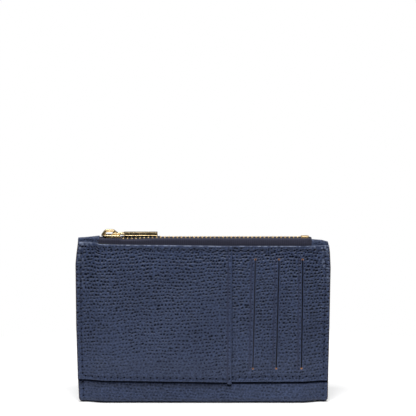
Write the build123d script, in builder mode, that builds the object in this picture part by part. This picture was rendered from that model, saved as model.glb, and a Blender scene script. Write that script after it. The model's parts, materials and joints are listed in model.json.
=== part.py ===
"""Zip card holder: a flat leather pouch with a zipped coin compartment and card slots on its front.

The pouch stands on its bottom fold. +X is to the right, -Y is the front, +Z is up, and the origin is
the middle of the bottom. Every layer is placed by its distance from the seam plane, where the front
and the back of the pouch meet. All sizes are in millimetres.
"""

import os
from math import atan2, degrees

from build123d import *

# ---- driving dimensions -------------------------------------------------------------------------
WIDTH = 130.0
HALF_WIDTH = WIDTH / 2
SHELL_HEIGHT = 81.8
PANEL_BOTTOM = 11.2
PANEL_TOP = 82.2

SEAM_PLANE_Y = 1.375  # the front carries more layers than the back, so the seam plane lies behind the middle
SEAM_INNER_X = 61.5  # outside this the layers lie flat on each other and are sewn together
FULL_DEPTH_X = 56.0  # inside this the pouch has its full depth
COIN_HALF_GAP = 2.95  # half the depth of the empty coin compartment
POCKET_GAP = 1.0  # depth of the card pockets between the front panel and the shell
PLAN_RADIUS = 8.0
CORNER_RADIUS = 2.0

# distances from the seam plane, in the sewn edges
LINING_IN, LINING_OUT = 0.05, 0.35
TAPE_IN, TAPE_OUT = 0.40, 0.90
WALL_IN, WALL_OUT_FRONT, WALL_OUT_BACK = 0.95, 1.90, 1.95
SLOT_PANEL_IN, SLOT_PANEL_OUT = 1.95, 2.75
COVER_IN, COVER_OUT = 2.80, 3.70

BOTTOM_THICKNESS = 1.0
FOLD_RADIUS = 0.8
LINING_FLOOR = 1.15
LINING_TOP = 77.0

# card slots
SLOT_X = (25.8, 38.45, 51.1)
SLOT_LOW, SLOT_HIGH = 18.3, 75.3
SLOT_WIDTH = 0.5
SLOT_HOLE_RADIUS = 0.55
COVER_EDGE_X = 14.6
COVER_HEM_WIDTH = 1.9
COVER_HEM_DROP = 1.2
LINER_THICKNESS = 0.2
LINER_LOW, LINER_HIGH = 15.0, 78.0
LINER_REACH = 78.0  # how far a pocket runs to the left of its slot
LINER_LAP = 4.0  # how far it laps behind the panel to the right of its slot

STIFFENER_THICKNESS = 0.4
STIFFENER_LOW, STIFFENER_HIGH = 3.0, 71.0
STIFFENER_HALF_WIDTH = 54.0

# zipper
TAPE_THICKNESS = 0.4
TAPE_LOW = 73.0
TAPE_HALF_LENGTH = 54.6
CHAIN_Z = 85.05
TOOTH_PITCH = 2.12
TOOTH_HALF_HEIGHT = 0.95
TOOTH_WIDTH = 0.95
TOOTH_BACK = 2.2
TOOTH_REACH = 0.45
FIRST_TOOTH_X = -49.5
TEETH_PER_ROW = 47
STOP_X = (49.7, 53.8)
TOP_STOP_X = (-54.2, -53.0)
STOP_SLOT = TAPE_THICKNESS + 0.1
TAB_X = (54.8, 64.2)
TAB_LOW, TAB_HIGH = 74.0, 85.5
TAB_THICKNESS = 0.45

# slider and pull
SLIDER_X = (-52.5, -42.7)
WING_THICKNESS = 0.7
WING_TOP_Z = (CHAIN_Z + 1.1, CHAIN_Z + 1.1 + WING_THICKNESS)
WING_LOW_Z = (CHAIN_Z - 1.1 - WING_THICKNESS, CHAIN_Z - 1.1)
WING_TOP_HALF, WING_LOW_HALF = 3.1, 2.8
FLANGE_INNER = 2.45
FLANGE_CLEARANCE = 0.4  # from the middle of the tape to a flange
DIAMOND_X = (-52.0, -50.2)
BRIDGE_HALF_WIDTH = 1.2
BRIDGE_FEET_X = (-52.2, -43.6)
BRIDGE_CROWN_X = (-50.4, -46.2)
BRIDGE_SHOULDER = (-44.1, CHAIN_Z + 3.25)
BRIDGE_TOP_Z = CHAIN_Z + 4.35
BRIDGE_THICKNESS = 1.1
BRIDGE_LEG_THICKNESS = 1.3
PIVOT_X, PIVOT_Z = -46.3, CHAIN_Z + 2.35
EYE_RADIUS = 0.35
EYE_ARM = (1.45, 2.1)
EYE_REACH = 4.9
BAR_X = (-41.0, -23.5)
BAR_Z = (CHAIN_Z + 1.35, CHAIN_Z + 3.05)
BAR_HALF_WIDTH = 2.1

# thread
STITCH_PITCH = 3.3
STITCH_LENGTH = 2.5
THREAD_RADIUS = 0.23
THREAD_SINK = 0.06
SIDE_SEAM_X = 62.4
COVER_HEM_SEAM_Z = 13.0
SLOT_HEM_SEAM_Z = 13.8
MOUTH_SEAM_Z = 79.8

os.makedirs("parts", exist_ok=True)


# ---- shared shapes ------------------------------------------------------------------------------
def plan_points(distance, bulge, side):
    """Corners of a layer's line in plan. side is -1 for the front and 1 for the back."""
    near = SEAM_PLANE_Y + side * distance
    far = near + side * bulge
    return [
        (-HALF_WIDTH, near),
        (-SEAM_INNER_X, near),
        (-FULL_DEPTH_X, far),
        (FULL_DEPTH_X, far),
        (SEAM_INNER_X, near),
        (HALF_WIDTH, near),
    ]


def layer(distance_in, distance_out, bulge, side, low, high):
    """Adds a wall of even thickness that follows the pouch's plan."""
    with BuildSketch(Plane.XY.offset(low)) as outline:
        with BuildLine():
            inner = FilletPolyline(*plan_points(distance_in, bulge, side), radius=PLAN_RADIUS)
            outer = FilletPolyline(*plan_points(distance_out, bulge, side), radius=PLAN_RADIUS)
            Line(inner @ 0, outer @ 0)
            Line(inner @ 1, outer @ 1)
        make_face()
    extrude(outline.sketch, amount=high - low)


def pouch_region(distance_front, distance_back, low, high, mode=Mode.ADD):
    """Adds or cuts everything between a front line and a back line of the pouch's plan."""
    with BuildSketch(Plane.XY.offset(low)) as outline:
        with BuildLine():
            front = FilletPolyline(*plan_points(distance_front, COIN_HALF_GAP, -1), radius=PLAN_RADIUS)
            back = FilletPolyline(*plan_points(distance_back, COIN_HALF_GAP, 1), radius=PLAN_RADIUS)
            Line(front @ 0, back @ 0)
            Line(front @ 1, back @ 1)
        make_face()
    extrude(outline.sketch, amount=high - low, mode=mode)


def keep_outline(x_low, x_high, z_low, z_high, radius):
    """Keeps what lies inside an upright rectangle with rounded bottom corners."""
    with BuildSketch(Plane.XZ) as outline:
        with BuildLine():
            FilletPolyline(
                (x_low, z_high), (x_low, z_low), (x_high, z_low), (x_high, z_high), radius=radius
            )
            Line((x_high, z_high), (x_low, z_high))
        make_face()
    extrude(outline.sketch, amount=HALF_WIDTH, both=True, mode=Mode.INTERSECT)


def finish(part, name):
    """Labels a finished piece and writes its file."""
    part.label = name
    export_step(part, f"parts/{name}.step")


# ---- leather shell: back, bottom fold and front wall in one folded piece --------------------------
with BuildPart() as outer_shell:
    pouch_region(WALL_OUT_FRONT, WALL_OUT_BACK, 0, SHELL_HEIGHT)
    pouch_region(WALL_IN, WALL_IN, BOTTOM_THICKNESS, SHELL_HEIGHT, mode=Mode.SUBTRACT)
    keep_outline(-HALF_WIDTH, HALF_WIDTH, 0, SHELL_HEIGHT, CORNER_RADIUS)
    fold_edges = outer_shell.edges().filter_by(Axis.X).group_by(Axis.Z)[0]
    fillet(fold_edges, FOLD_RADIUS)
finish(outer_shell.part, "outer_shell")

# ---- front panel with three card slots, each ending in a punched hole ------------------------------
with BuildPart() as slot_panel:
    layer(SLOT_PANEL_IN, SLOT_PANEL_OUT, COIN_HALF_GAP + POCKET_GAP, -1, PANEL_BOTTOM, PANEL_TOP)
    with BuildSketch(Plane.XZ):
        for slot_x in SLOT_X:
            with Locations((slot_x, (SLOT_LOW + SLOT_HIGH) / 2)):
                Rectangle(SLOT_WIDTH, SLOT_HIGH - SLOT_LOW)
            with Locations((slot_x, SLOT_LOW), (slot_x, SLOT_HIGH)):
                Circle(SLOT_HOLE_RADIUS)
    extrude(amount=HALF_WIDTH, both=True, mode=Mode.SUBTRACT)
finish(slot_panel.part, "slot_panel")

# ---- cover panel over the left of the front, open along its hemmed right edge ----------------------
with BuildPart() as cover_panel:
    layer(COVER_IN, COVER_OUT, COIN_HALF_GAP + POCKET_GAP, -1, PANEL_BOTTOM - COVER_HEM_DROP, PANEL_TOP)
    with BuildSketch(Plane.XZ):
        with BuildLine():
            Polyline(
                (-HALF_WIDTH, PANEL_BOTTOM),
                (COVER_EDGE_X - COVER_HEM_WIDTH, PANEL_BOTTOM),
                (COVER_EDGE_X - COVER_HEM_WIDTH, PANEL_BOTTOM - COVER_HEM_DROP),
                (COVER_EDGE_X, PANEL_BOTTOM - COVER_HEM_DROP),
                (COVER_EDGE_X, PANEL_TOP),
                (-HALF_WIDTH, PANEL_TOP),
                close=True,
            )
        make_face()
    extrude(amount=HALF_WIDTH, both=True, mode=Mode.INTERSECT)
finish(cover_panel.part, "cover_panel")

# ---- card pocket liners: the first slot's liner lies in front, the last one's against the shell ----
LINER_NAMES = ("card_pocket_liner_inner", "card_pocket_liner_middle", "card_pocket_liner_outer")
for number, (slot_x, liner_name) in enumerate(zip(SLOT_X, LINER_NAMES)):
    liner_distance = COIN_HALF_GAP + SLOT_PANEL_IN + POCKET_GAP - 0.25 - 0.3 * number
    liner_left, liner_right = slot_x - LINER_REACH, slot_x + LINER_LAP
    with BuildPart() as liner:
        with BuildSketch(Plane.XZ.offset(liner_distance - SEAM_PLANE_Y - LINER_THICKNESS)):
            with Locations(((liner_left + liner_right) / 2, (LINER_LOW + LINER_HIGH) / 2)):
                Rectangle(liner_right - liner_left, LINER_HIGH - LINER_LOW)
        extrude(amount=LINER_THICKNESS)
    finish(liner.part, liner_name)

# ---- coin compartment lining, folded at the bottom like the shell ----------------------------------
with BuildPart() as coin_lining:
    pouch_region(LINING_OUT, LINING_OUT, LINING_FLOOR, LINING_TOP)
    pouch_region(
        LINING_IN, LINING_IN, LINING_FLOOR + LINING_OUT - LINING_IN, LINING_TOP, mode=Mode.SUBTRACT
    )
    keep_outline(-HALF_WIDTH + 0.4, HALF_WIDTH - 0.4, LINING_FLOOR, LINING_TOP, CORNER_RADIUS)
finish(coin_lining.part, "coin_lining")

# ---- stiffening boards between the shell and the lining --------------------------------------------
STIFFENER_NAMES = {-1: "front_stiffener", 1: "back_stiffener"}
for side, stiffener_name in STIFFENER_NAMES.items():
    stiffener_y = SEAM_PLANE_Y + side * (COIN_HALF_GAP + (TAPE_IN + TAPE_OUT) / 2)
    with BuildPart() as stiffener:
        with BuildSketch(Plane.XZ.offset(-stiffener_y)):
            with Locations((0, (STIFFENER_LOW + STIFFENER_HIGH) / 2)):
                RectangleRounded(2 * STIFFENER_HALF_WIDTH, STIFFENER_HIGH - STIFFENER_LOW, CORNER_RADIUS)
        extrude(amount=STIFFENER_THICKNESS / 2, both=True)
    finish(stiffener.part, stiffener_name)

# ---- zipper tapes: sewn flat inside the mouth, turned inward at the top to carry the teeth ----------
SIDE_NAMES = {-1: "front", 1: "back"}
tape_drop_distance = COIN_HALF_GAP + (TAPE_IN + TAPE_OUT) / 2
for side, side_name in SIDE_NAMES.items():
    with BuildPart() as tape:
        with BuildSketch(Plane.YZ):
            with BuildLine():
                FilletPolyline(
                    (SEAM_PLANE_Y + side * 1.3, CHAIN_Z),
                    (SEAM_PLANE_Y + side * tape_drop_distance, CHAIN_Z),
                    (SEAM_PLANE_Y + side * tape_drop_distance, TAPE_LOW),
                    radius=0.8,
                )
            trace(line_width=TAPE_THICKNESS)
        extrude(amount=TAPE_HALF_LENGTH, both=True)
    finish(tape.part, f"zip_tape_{side_name}")

# ---- zipper teeth: two rows, half a pitch apart, that mesh on the seam plane ------------------------
for side, side_name in SIDE_NAMES.items():
    row_start = FIRST_TOOTH_X + (TOOTH_PITCH / 2 if side > 0 else 0)
    with BuildPart() as teeth:
        with BuildSketch(Plane.XY.offset(CHAIN_Z - TOOTH_HALF_HEIGHT)):
            for number in range(TEETH_PER_ROW):
                tooth_x = row_start + number * TOOTH_PITCH
                tooth_y = SEAM_PLANE_Y + side * (TOOTH_BACK - TOOTH_REACH) / 2
                with Locations((tooth_x, tooth_y)):
                    RectangleRounded(TOOTH_WIDTH, TOOTH_BACK + TOOTH_REACH, 0.25)
        extrude(amount=2 * TOOTH_HALF_HEIGHT)
    finish(teeth.part, f"zip_teeth_{side_name}")

# ---- top stops: one crimped on each tape in front of the slider -------------------------------------
for side, side_name in SIDE_NAMES.items():
    with BuildPart() as top_stop:
        with BuildSketch(Plane.XY.offset(CHAIN_Z - 0.8)):
            with Locations((sum(TOP_STOP_X) / 2, SEAM_PLANE_Y + side * 1.5)):
                RectangleRounded(TOP_STOP_X[1] - TOP_STOP_X[0], 1.6, 0.2)
        extrude(amount=1.6)
        with BuildSketch(Plane.YZ):
            with Locations((SEAM_PLANE_Y + side * 2.2, CHAIN_Z)):
                Rectangle(2.0, STOP_SLOT)
        extrude(amount=-HALF_WIDTH, mode=Mode.SUBTRACT)
    finish(top_stop.part, f"zip_top_stop_{side_name}")

# ---- bottom stop: holds both tapes together at the right end ---------------------------------------
with BuildPart() as bottom_stop:
    with BuildSketch(Plane.XY.offset(CHAIN_Z - 1.05)):
        with Locations((sum(STOP_X) / 2, SEAM_PLANE_Y)):
            RectangleRounded(STOP_X[1] - STOP_X[0], 4.7, 0.6)
    extrude(amount=2.1)
    with BuildSketch(Plane.YZ):
        with Locations((SEAM_PLANE_Y - 2.1, CHAIN_Z), (SEAM_PLANE_Y + 2.1, CHAIN_Z)):
            Rectangle(2.0, STOP_SLOT)
    extrude(amount=HALF_WIDTH, mode=Mode.SUBTRACT)
finish(bottom_stop.part, "zip_bottom_stop")

# ---- leather tabs folded over the two ends of the zipper --------------------------------------------
TAB_SIDES = {"left": (-TAB_X[1], -TAB_X[0]), "right": TAB_X}
for tab_name, (tab_low_x, tab_high_x) in TAB_SIDES.items():
    with BuildPart() as end_tab:
        pouch_region(TAPE_OUT - 0.03, TAPE_OUT - 0.03, TAB_LOW, TAB_HIGH)
        pouch_region(
            TAPE_OUT - TAB_THICKNESS,
            TAPE_OUT - TAB_THICKNESS,
            TAB_LOW,
            TAB_HIGH - TAB_THICKNESS,
            mode=Mode.SUBTRACT,
        )
        with BuildSketch(Plane.XZ):
            with Locations(((tab_low_x + tab_high_x) / 2, (TAB_LOW + TAB_HIGH) / 2)):
                Rectangle(tab_high_x - tab_low_x, TAB_HIGH - TAB_LOW)
        extrude(amount=HALF_WIDTH, both=True, mode=Mode.INTERSECT)
    finish(end_tab.part, f"zip_end_tab_{tab_name}")


# ---- slider: two wings joined by a diamond, with flanges that keep the teeth in line ----------------
def wing(half_width, low, high):
    """Adds a slider wing, wide at its front shoulders on the left and narrower at the rear."""
    with BuildSketch(Plane.XY.offset(low)) as outline:
        with BuildLine():
            FilletPolyline(
                (SLIDER_X[0] + 1.2, SEAM_PLANE_Y + half_width - 0.5),
                (SLIDER_X[0] + 3.0, SEAM_PLANE_Y + half_width),
                (SLIDER_X[1], SEAM_PLANE_Y + half_width - 0.15),
                (SLIDER_X[1], SEAM_PLANE_Y - half_width + 0.15),
                (SLIDER_X[0] + 3.0, SEAM_PLANE_Y - half_width),
                (SLIDER_X[0] + 1.2, SEAM_PLANE_Y - half_width + 0.5),
                (SLIDER_X[0], SEAM_PLANE_Y),
                close=True,
                radius=0.5,
            )
        make_face()
    extrude(outline.sketch, amount=high - low)


def channel(low, high):
    """Cuts the channel between two flanges, open at the front for the two rows to part."""
    with BuildSketch(Plane.XY.offset(low)) as outline:
        with Locations(((SLIDER_X[0] + SLIDER_X[1]) / 2, SEAM_PLANE_Y)):
            Rectangle(SLIDER_X[1] - SLIDER_X[0] + 1, 2 * FLANGE_INNER)
        with Locations((SLIDER_X[0] + 1.0, SEAM_PLANE_Y)):
            Rectangle(2.4, 2 * WING_TOP_HALF + 1)
    extrude(outline.sketch, amount=high - low, mode=Mode.SUBTRACT)


with BuildPart() as slider_body:
    wing(WING_TOP_HALF, CHAIN_Z + FLANGE_CLEARANCE, WING_TOP_Z[1])
    channel(CHAIN_Z + FLANGE_CLEARANCE, WING_TOP_Z[0])
    chamfer(slider_body.faces().sort_by(Axis.Z)[-1].edges(), 0.2)
    wing(WING_LOW_HALF, WING_LOW_Z[0], CHAIN_Z - FLANGE_CLEARANCE)
    channel(WING_LOW_Z[1], CHAIN_Z - FLANGE_CLEARANCE)
    with BuildSketch(Plane.XY.offset(WING_LOW_Z[1])):
        with Locations((sum(DIAMOND_X) / 2, SEAM_PLANE_Y)):
            RectangleRounded(DIAMOND_X[1] - DIAMOND_X[0], 1.3, 0.4)
    extrude(amount=WING_TOP_Z[0] - WING_LOW_Z[1])
finish(slider_body.part, "zip_slider_body")

# ---- bridge over the slider, which the pull's eye runs through --------------------------------------
with BuildPart() as bridge:
    with BuildSketch(Plane.XZ.offset(-SEAM_PLANE_Y)):
        foot_z = WING_TOP_Z[1]
        crown_under_z = BRIDGE_TOP_Z - BRIDGE_THICKNESS
        with BuildLine():
            FilletPolyline(
                (BRIDGE_FEET_X[0], foot_z),
                (BRIDGE_CROWN_X[0], BRIDGE_TOP_Z),
                (BRIDGE_CROWN_X[1], BRIDGE_TOP_Z),
                BRIDGE_SHOULDER,
                (BRIDGE_FEET_X[1], foot_z),
                radius=0.9,
            )
            Line((BRIDGE_FEET_X[1], foot_z), (BRIDGE_FEET_X[0], foot_z))
        make_face()
        with BuildLine():
            FilletPolyline(
                (BRIDGE_FEET_X[0] + BRIDGE_LEG_THICKNESS, foot_z),
                (BRIDGE_CROWN_X[0] + 0.5, crown_under_z),
                (BRIDGE_CROWN_X[1] - 0.3, crown_under_z),
                (BRIDGE_SHOULDER[0] - 1.0, BRIDGE_SHOULDER[1] - 0.7),
                (BRIDGE_FEET_X[1] - BRIDGE_LEG_THICKNESS, foot_z),
                radius=0.35,
            )
            Line(
                (BRIDGE_FEET_X[1] - BRIDGE_LEG_THICKNESS, foot_z),
                (BRIDGE_FEET_X[0] + BRIDGE_LEG_THICKNESS, foot_z),
            )
        make_face(mode=Mode.SUBTRACT)
    extrude(amount=BRIDGE_HALF_WIDTH, both=True)
finish(bridge.part, "zip_slider_bridge")

# ---- pull: a flat bar with a neck and an eye that turns in the bridge --------------------------------
with BuildPart() as pull:
    eye_end = PIVOT_X + EYE_REACH
    with BuildSketch(Plane.XY.offset(PIVOT_Z - EYE_RADIUS)):
        with Locations(((PIVOT_X + eye_end) / 2, SEAM_PLANE_Y)):
            Rectangle(EYE_REACH, 2 * EYE_ARM[1])
            Rectangle(EYE_REACH, 2 * EYE_ARM[0], mode=Mode.SUBTRACT)
        with Locations(((eye_end + BAR_X[0]) / 2, SEAM_PLANE_Y)):
            Rectangle(BAR_X[0] - eye_end + 1.0, 2 * EYE_ARM[1])
    extrude(amount=2 * EYE_RADIUS)
    with BuildSketch(Plane.XZ.offset(-SEAM_PLANE_Y)):
        with Locations((PIVOT_X, PIVOT_Z)):
            Circle(EYE_RADIUS)
    extrude(amount=EYE_ARM[1], both=True)
    with BuildSketch(Plane.XY.offset(BAR_Z[0])):
        with Locations((sum(BAR_X) / 2, SEAM_PLANE_Y)):
            RectangleRounded(BAR_X[1] - BAR_X[0], 2 * BAR_HALF_WIDTH, 0.6)
    extrude(amount=BAR_Z[1] - BAR_Z[0])
    bar_rims = pull.edges().filter_by(lambda edge: edge.center().X > BAR_X[0] + 0.5)
    bar_rims = bar_rims.filter_by(GeomType.LINE).filter_by(Axis.Z, reverse=True)
    bar_rims = bar_rims.group_by(Axis.Z)
    chamfer(bar_rims[0] + bar_rims[-1], 0.25)
finish(pull.part, "zip_pull")


# ---- thread --------------------------------------------------------------------------------------
def front_distance(x, distance, bulge):
    """How far from the seam plane a layer's outer face lies at x, with its corners unrounded."""
    run = SEAM_INNER_X - FULL_DEPTH_X
    share = min(1.0, max(0.0, (SEAM_INNER_X - abs(x)) / run))
    return distance + bulge * share


def row_of_stitches(starts, height, distance, bulge, side):
    """Adds stitches that run along X at one height, each turned to lie on its panel."""
    for start in starts:
        ends = [
            (x, SEAM_PLANE_Y + side * (front_distance(x, distance, bulge) - THREAD_SINK))
            for x in (start, start + STITCH_LENGTH)
        ]
        turn = degrees(atan2(ends[1][1] - ends[0][1], ends[1][0] - ends[0][0]))
        middle = ((ends[0][0] + ends[1][0]) / 2, (ends[0][1] + ends[1][1]) / 2, height)
        with Locations(Location(middle, (0, 90, turn))):
            Cylinder(THREAD_RADIUS, STITCH_LENGTH)


def column_of_stitches(x, starts, distance, side):
    """Adds stitches that run up a side seam."""
    y = SEAM_PLANE_Y + side * (distance - THREAD_SINK)
    with Locations([(x, y, start + STITCH_LENGTH / 2) for start in starts]):
        Cylinder(THREAD_RADIUS, STITCH_LENGTH)


def evenly(low, high):
    """Starts of the stitches of a seam from low to high."""
    count = int((high - low) / STITCH_PITCH)
    return [low + (high - low) * number / count for number in range(count)]


PUFFED = COIN_HALF_GAP + POCKET_GAP
OUTER_FACE = {-1: COVER_OUT, 1: SLOT_PANEL_OUT}
SEAM_NAMES = {-1: "left", 1: "right"}
for end, end_name in SEAM_NAMES.items():
    with BuildPart() as side_thread:
        column_of_stitches(end * SIDE_SEAM_X, evenly(14.2, 80.6), OUTER_FACE[end], -1)
        column_of_stitches(end * SIDE_SEAM_X, evenly(2.6, 10.6), WALL_OUT_FRONT, -1)
        column_of_stitches(end * SIDE_SEAM_X, evenly(2.6, 80.6), WALL_OUT_BACK, 1)
    finish(side_thread.part, f"thread_side_{end_name}")

HEM_X = COVER_EDGE_X + 0.6
FRONT_SEAMS = (
    ("thread_panel_hem", COVER_HEM_SEAM_Z, SLOT_HEM_SEAM_Z),
    ("thread_mouth_front", MOUTH_SEAM_Z, MOUTH_SEAM_Z),
)
for seam_name, cover_z, slot_z in FRONT_SEAMS:
    with BuildPart() as front_thread:
        row_of_stitches(evenly(-60.5, COVER_EDGE_X - 1.0), cover_z, COVER_OUT, PUFFED, -1)
        row_of_stitches(evenly(HEM_X, 60.5), slot_z, SLOT_PANEL_OUT, PUFFED, -1)
    finish(front_thread.part, seam_name)

with BuildPart() as back_thread:
    row_of_stitches(evenly(-60.5, 60.5), MOUTH_SEAM_Z, WALL_OUT_BACK, COIN_HALF_GAP, 1)
finish(back_thread.part, "thread_mouth_back")
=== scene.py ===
"""The looks of the zip card holder: leather, thread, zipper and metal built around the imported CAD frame."""

import json
import math

import bpy
import numpy as np
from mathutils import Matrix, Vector


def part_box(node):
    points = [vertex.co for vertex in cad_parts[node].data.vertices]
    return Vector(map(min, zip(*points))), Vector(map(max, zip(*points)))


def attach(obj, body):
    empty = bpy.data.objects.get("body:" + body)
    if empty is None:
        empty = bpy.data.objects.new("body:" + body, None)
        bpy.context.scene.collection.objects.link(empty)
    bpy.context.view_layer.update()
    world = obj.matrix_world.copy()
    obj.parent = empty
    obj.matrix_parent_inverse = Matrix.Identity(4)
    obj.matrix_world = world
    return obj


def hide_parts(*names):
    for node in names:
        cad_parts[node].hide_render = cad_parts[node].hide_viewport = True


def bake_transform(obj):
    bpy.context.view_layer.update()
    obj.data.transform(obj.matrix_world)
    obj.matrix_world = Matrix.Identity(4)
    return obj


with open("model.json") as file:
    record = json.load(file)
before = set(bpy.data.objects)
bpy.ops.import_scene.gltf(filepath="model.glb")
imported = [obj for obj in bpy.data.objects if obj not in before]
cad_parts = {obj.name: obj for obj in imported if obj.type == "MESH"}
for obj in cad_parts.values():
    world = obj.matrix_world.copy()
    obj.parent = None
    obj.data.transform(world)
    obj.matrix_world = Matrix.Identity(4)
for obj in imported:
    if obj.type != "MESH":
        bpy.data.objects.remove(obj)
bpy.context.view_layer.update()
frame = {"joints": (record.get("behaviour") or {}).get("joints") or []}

MM = 0.001


# ---- places taken from the frame, in millimetres ----
def box_mm(node):
    """Lowest and highest corner of a CAD node, in millimetres."""
    low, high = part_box(node)
    return np.array(low) / MM, np.array(high) / MM


shell_high = box_mm("outer_shell")[1]
slot_low, slot_high = box_mm("slot_panel")
tape_low, tape_high = box_mm("zip_tape_front")
teeth_low, teeth_high = box_mm("zip_teeth_front")
slider_low, slider_high = box_mm("zip_slider_body")
pull_low, pull_high = box_mm("zip_pull")

HALF_WIDTH = shell_high[0]
SEAM_Y = (pull_low[1] + pull_high[1]) / 2
SHELL_TOP = shell_high[2]
PANEL_TOP = slot_high[2]
PANEL_BOTTOM = slot_low[2]
COVER_EDGE = box_mm("cover_panel")[1][0]
CHAIN_Z = (teeth_low[2] + teeth_high[2]) / 2
COIN_DEPTH = shell_high[1] - SEAM_Y - 1.95  # from the seam plane to the lining's face, in the middle
POCKET_DEPTH = 1.0

# distances of the outer faces from the seam plane, in the sewn edges
LINING = 0.35
BOARD_FACE = 0.82
TAPE = 0.90
SHELL = 1.92
POCKET_LINER = 2.22
SLOT_PANEL = 2.75
COVER = 3.70

LINING_THICKNESS = 0.28
BOARD_THICKNESS = 0.35
LINER_THICKNESS = 0.05
TAPE_THICKNESS = 0.36
TAB_THICKNESS = 0.42
SHELL_THICKNESS = 0.95
PANEL_THICKNESS = 0.80
COVER_THICKNESS = 0.85

SEAM_INNER = 61.5
FULL_DEPTH = 51.0
FOLD_RADIUS = 1.8
EDGE_RADIUS = 0.42
SHELL_EDGE_RADIUS = 0.4
HEM_RADIUS = 0.25
TAB_RADIUS = 0.9
GRAIN_STEP = 0.29
SHELL_STEP = 0.32
HIDDEN_STEP = 2.5
SLOT_XS = (25.8, 38.45, 51.1)
SLOT_ENDS = (18.3, 75.3)
SLOT_HALF_WIDTH = 0.3
SLOT_HOLE_RADIUS = 0.56
CREASE_INSET = 1.95
CREASE_WIDTH = 0.42
HEM_INSET = 2.1
HEM_DROP = 1.0
SEAM_PITCH = 3.3
SIDE_SEAM = 62.4
MOUTH_SEAM_DROP = 2.4
TOOTH_PITCH = 2.12


# ---- small maths ----
def ramp(value, low, high):
    """0 below low, 1 above high, smooth between. low may be above high."""
    t = np.clip((value - low) / (high - low), 0.0, 1.0)
    return t * t * (3 - 2 * t)


def hill(value, middle, width):
    """A smooth bump of height 1."""
    return np.exp(-(((value - middle) / width) ** 2))


rng = np.random.default_rng(11)
NOISE = rng.random((64, 64))
CELLS = rng.random((6, 128, 128))


def noise(u, v, size, seed):
    """Smooth noise from -1 to 1 whose lumps are about size across."""
    a = u / size + 17.3 * seed
    b = v / size + 9.1 * seed
    i = np.floor(a).astype(int)
    j = np.floor(b).astype(int)
    s = ramp(a - i, 0, 1)
    t = ramp(b - j, 0, 1)
    low, high = [NOISE[k % 64, i % 64] * (1 - s) + NOISE[k % 64, (i + 1) % 64] * s for k in (j, j + 1)]
    return 2 * (low * (1 - t) + high * t) - 1


PIT_PITCH = 1.70


def pits(u, v, seed):
    """How deep in the grain each point is, from 0 on a ridge to 1: wavy rows of short, staggered pits."""
    waves = 0.9 * noise(u, v, 21, seed) + 0.3 * noise(u, v, 5.5, seed + 1) + 0.26 * noise(u, v, 2.6, seed + 6)
    v = v - 0.04 * u + waves
    u = u + 0.5 * noise(u, v, 8, seed + 2) + 0.25 * noise(u, v, 3, seed + 7)
    row = np.floor(v / PIT_PITCH).astype(int)
    deepest = np.zeros_like(u)
    for j in (row - 1, row, row + 1):
        stagger = 0.5 * (j % 2) + 0.3 * CELLS[5, j % 128, 7]
        column = np.floor(u / PIT_PITCH - stagger).astype(int)
        for i in (column - 1, column, column + 1):
            r = CELLS[:, j % 128, i % 128]
            du = u - (i + stagger + 0.5 + 0.42 * (r[0] - 0.5)) * PIT_PITCH
            dv = v - (j + 0.5 + 0.36 * (r[1] - 0.5)) * PIT_PITCH
            tilt = 0.7 * (r[2] - 0.42)
            along = (du + tilt * dv) / (0.67 + 0.34 * (r[3] - 0.5))
            across = (dv - tilt * du) / (0.60 + 0.2 * (r[4] - 0.5))
            deepest = np.maximum(deepest, np.clip(1.25 - along**2 - across**2, 0, 1) * (0.5 + 0.5 * r[5]))
    return deepest


def spaced(low, high, step):
    """Evenly spaced values from low to high."""
    return np.linspace(low, high, max(2, int(round((high - low) / step)) + 1))


def merged(*runs):
    """Sorted values of several runs, without near doubles."""
    values = np.unique(np.round(np.concatenate([np.atleast_1d(r) for r in runs]), 4))
    return values[np.concatenate([[True], np.diff(values) > 0.03])]


NEAR_EDGE = np.array([0.08, 0.3, 0.65, 1.0])


def edge_steps(low, high, radius):
    """Extra places close to both ends, where an edge is rounded over."""
    near = radius * NEAR_EDGE
    return np.concatenate([[low], low + near, high - near[::-1], [high]])


# ---- the pouch's form ----
def share(x):
    """How much of its full depth the pouch has at x: none in the side seams."""
    return ramp(np.abs(x), SEAM_INNER, FULL_DEPTH)


def pocket(x, z):
    """How far the card pockets hold the front panels off the shell."""
    rise = ramp(z, PANEL_BOTTOM + 1.5, PANEL_BOTTOM + 14) * ramp(z, PANEL_TOP - 1.5, PANEL_TOP - 14)
    return POCKET_DEPTH * share(x) * rise


def hem_rise(x):
    """How far the panels' lower hem sits above its drawn height."""
    return np.interp(x, [-64, COVER_EDGE, COVER_EDGE + 0.1, 60], [1.0, -0.2, -0.1, 0.15])


def slit_lean(x, z):
    """How far to the side the slits stray from straight: the panel was pulled askew as it was sewn."""
    xs = (COVER_EDGE + 2, *SLOT_XS, 60)
    upper = np.interp(x, xs, [0, 0.65, 0.0, -0.55, 0])
    lower = np.interp(x, xs, [0, -0.25, -0.9, -0.45, 0])
    return lower + (upper - lower) * np.clip((z - SLOT_ENDS[0]) / (SLOT_ENDS[1] - SLOT_ENDS[0]), 0, 1)


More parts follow.
